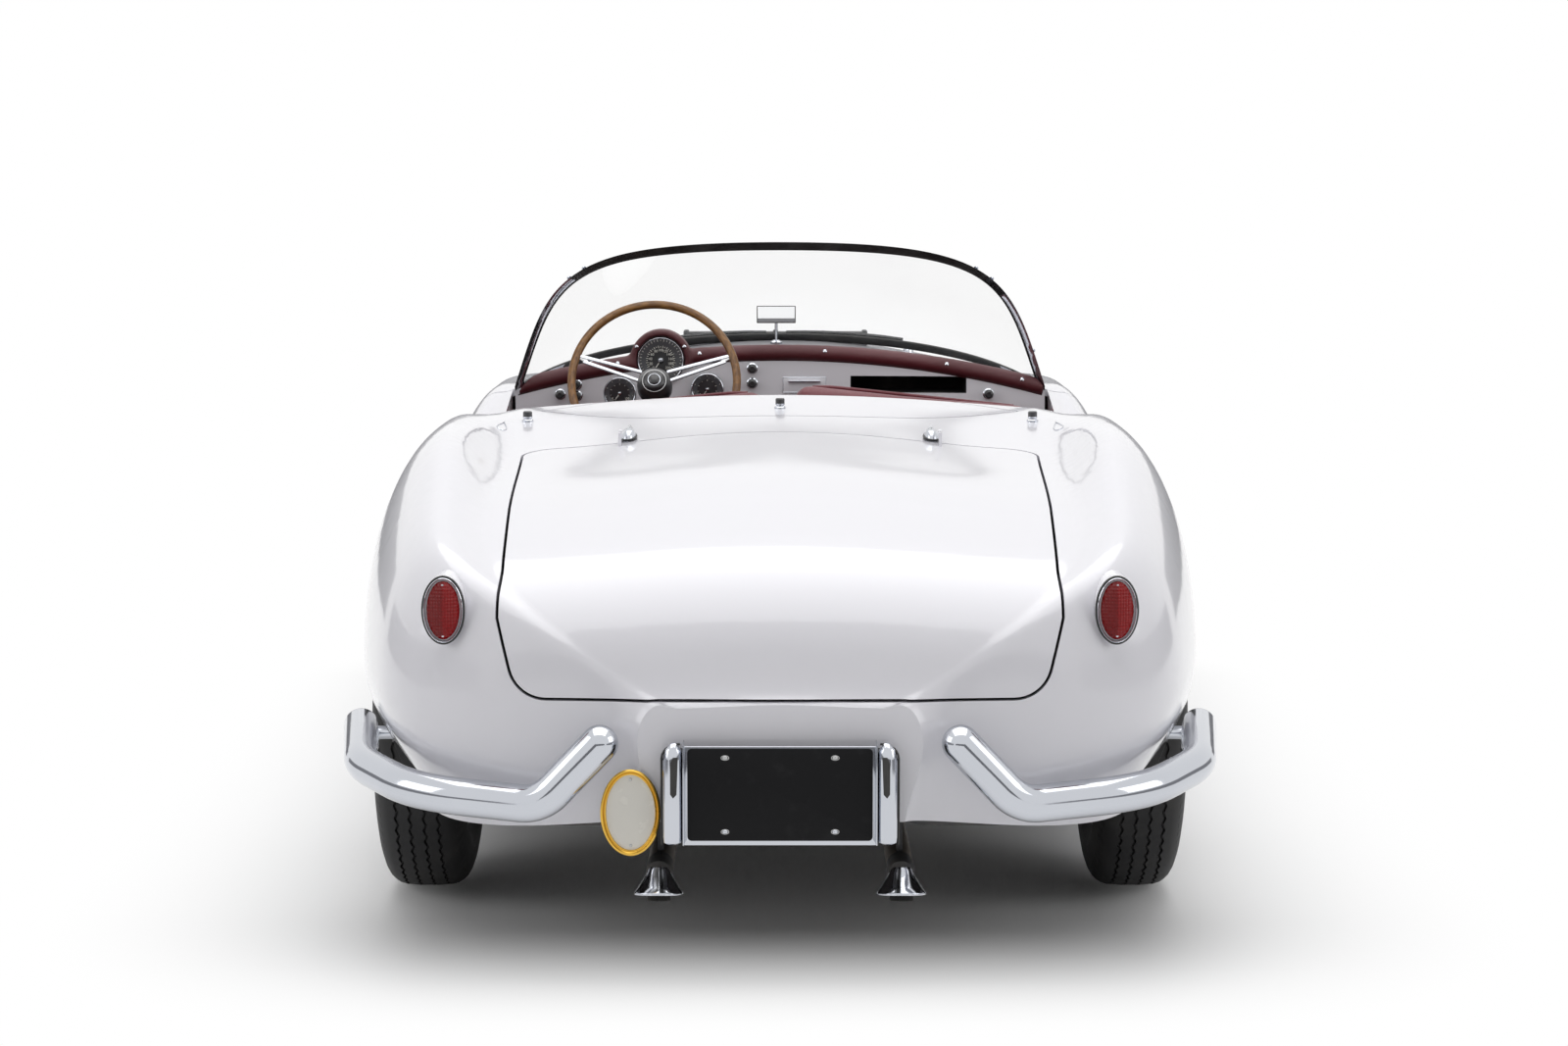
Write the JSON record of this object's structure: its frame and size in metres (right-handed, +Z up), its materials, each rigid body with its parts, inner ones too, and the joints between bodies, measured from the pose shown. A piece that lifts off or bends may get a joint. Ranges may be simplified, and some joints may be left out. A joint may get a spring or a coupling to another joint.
{
  "type": "two-seat roadster convertible",
  "caption": "Open two-seat roadster with rounded wings, wraparound windscreen, split bumpers, doors, bonnet and boot lid that open, and steered road wheels.",
  "frame": {"origin": "on the floor under the middle of the car", "axes": "+Y forward, +X to the right, +Z up"},
  "size_m": [1.5562, 4.1989, 1.193],
  "materials": {
    "paint": "gloss silver-white paint",
    "under_paint": "satin black underbody",
    "chrome": "polished chrome",
    "steel": "bare steel",
    "iron": "cast iron",
    "aluminium": "cast aluminium",
    "tyre": "black rubber",
    "wheel_paint": "silver paint",
    "leather": "maroon leather",
    "dial": "dark dial housings",
    "wood": "polished wood",
    "glass": "clear laminated glass",
    "red_lens": "red moulded lens",
    "black_plate": "gloss black",
    "cream_plate": "gloss cream",
    "lamp_glass": "lamp glass"
  },
  "bodies": {
    "chassis": {"front_body": "paint", "rear_body": "paint", "sills": "paint", "hood_cover": "paint", "wheelhouses": "under_paint", "floor_pan": "under_paint", "bulkheads": "under_paint", "boot_floor": "under_paint", "front_rails": "under_paint", "engine": "aluminium", "transaxle": "aluminium", "front_axle": "steel", "rear_axle": "steel", "rear_springs": "steel", "exhaust": "steel", "seat_left": "leather", "seat_right": "leather", "dash_pad": "leather", "dashboard": "paint", "instruments": "dial", "steering_column": "under_paint", "gear_lever": "chrome", "pedals": "steel", "mirror": "chrome", "windscreen_frame": "chrome", "windscreen_glass": "glass", "front_bumpers": "chrome", "rear_bumpers": "chrome", "number_plate": "black_plate", "plate_bracket": "steel", "plate_lamps": "chrome", "tail_lamps": "red_lens", "oval_sign": "cream_plate", "headlamps": "lamp_glass", "indicators": "lamp_glass", "grille": "chrome", "hood_pegs": "chrome", "boot_hinges": "chrome"},
    "door_left": {"door_left": "paint"},
    "door_right": {"door_right": "paint"},
    "bonnet": {"bonnet": "paint"},
    "boot_lid": {"boot_lid": "paint"},
    "steering": {"steering_wheel": "wood"},
    "knuckle_left": {"knuckle_left": "iron"},
    "knuckle_right": {"knuckle_right": "iron"},
    "wheel_front_left": {"tyre_front_left": "tyre", "wheel_front_left": "wheel_paint"},
    "wheel_front_right": {"tyre_front_right": "tyre", "wheel_front_right": "wheel_paint"},
    "wheel_rear_left": {"tyre_rear_left": "tyre", "wheel_rear_left": "wheel_paint"},
    "wheel_rear_right": {"tyre_rear_right": "tyre", "wheel_rear_right": "wheel_paint"}
  },
  "joints": [
    {"name": "steer_right", "type": "hinge", "parent": "chassis", "child": "knuckle_right", "pos_m": [0.525, 1.32, 0.325], "axis": [0, 0, 1], "range_deg": [-28, 28]},
    {"name": "steer_left", "type": "hinge", "parent": "chassis", "child": "knuckle_left", "pos_m": [-0.525, 1.32, 0.325], "axis": [0, 0, 1], "range_deg": [-28, 28]},
    {"name": "steering_turn", "type": "hinge", "parent": "chassis", "child": "steering", "pos_m": [-0.283, 0.095, 0.884], "axis": [0, -0.9063, 0.4226], "range_deg": [-448, 448]},
    {"name": "wheel_spin_front_left", "type": "hinge", "parent": "knuckle_left", "child": "wheel_front_left", "pos_m": [-0.64, 1.32, 0.325], "axis": [1, 0, 0], "continuous": true},
    {"name": "wheel_spin_front_right", "type": "hinge", "parent": "knuckle_right", "child": "wheel_front_right", "pos_m": [0.64, 1.32, 0.325], "axis": [1, 0, 0], "continuous": true},
    {"name": "wheel_spin_rear_left", "type": "hinge", "parent": "chassis", "child": "wheel_rear_left", "pos_m": [-0.66, -1.13, 0.325], "axis": [1, 0, 0], "continuous": true},
    {"name": "wheel_spin_rear_right", "type": "hinge", "parent": "chassis", "child": "wheel_rear_right", "pos_m": [0.66, -1.13, 0.325], "axis": [1, 0, 0], "continuous": true},
    {"name": "door_left_swing", "type": "hinge", "parent": "chassis", "child": "door_left", "pos_m": [-0.7705, 0.2325, 0.5], "axis": [0, 0, -1], "range_deg": [0, 65]},
    {"name": "door_right_swing", "type": "hinge", "parent": "chassis", "child": "door_right", "pos_m": [0.7705, 0.2325, 0.5], "axis": [0, 0, 1], "range_deg": [0, 65]},
    {"name": "bonnet_lift", "type": "hinge", "parent": "chassis", "child": "bonnet", "pos_m": [0, 0.6525, 0.96], "axis": [1, 0, 0], "range_deg": [0, 55]},
    {"name": "boot_lid_lift", "type": "hinge", "parent": "chassis", "child": "boot_lid", "pos_m": [0, -0.9025, 0.843], "axis": [-1, 0, 0], "range_deg": [0, 60]}
  ],
  "couplings": [
    {"joint": "steer_left", "follows": "steer_right", "ratio": 1},
    {"joint": "steering_turn", "follows": "steer_right", "ratio": 16}
  ]
}
